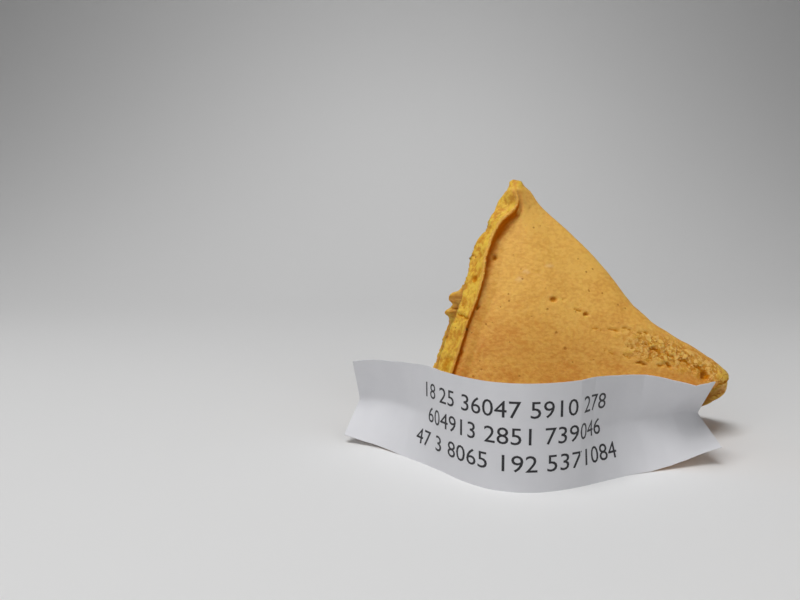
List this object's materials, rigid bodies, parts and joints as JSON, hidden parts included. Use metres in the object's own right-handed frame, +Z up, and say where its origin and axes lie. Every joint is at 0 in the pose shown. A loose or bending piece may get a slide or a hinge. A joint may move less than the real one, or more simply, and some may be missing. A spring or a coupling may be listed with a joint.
{
  "type": "fortune cookie half",
  "caption": "Baked fortune cookie broken across the middle, the half standing on its rim with its hollow open to one side, and the paper slip that was inside it standing on edge in front.",
  "frame": {"origin": "centre of the bounding box of cookie and slip together, on the floor they stand on", "axes": "+Z up, +X from the broken side towards the nose of the fold, -Y towards the printed face of the slip"},
  "size_m": [0.0562, 0.0412, 0.0373],
  "materials": {
    "baked_wafer": "matte",
    "slip_paper": "matte"
  },
  "bodies": {
    "root": {"cookie_half": "baked_wafer", "fortune_slip": "slip_paper"}
  },
  "joints": []
}
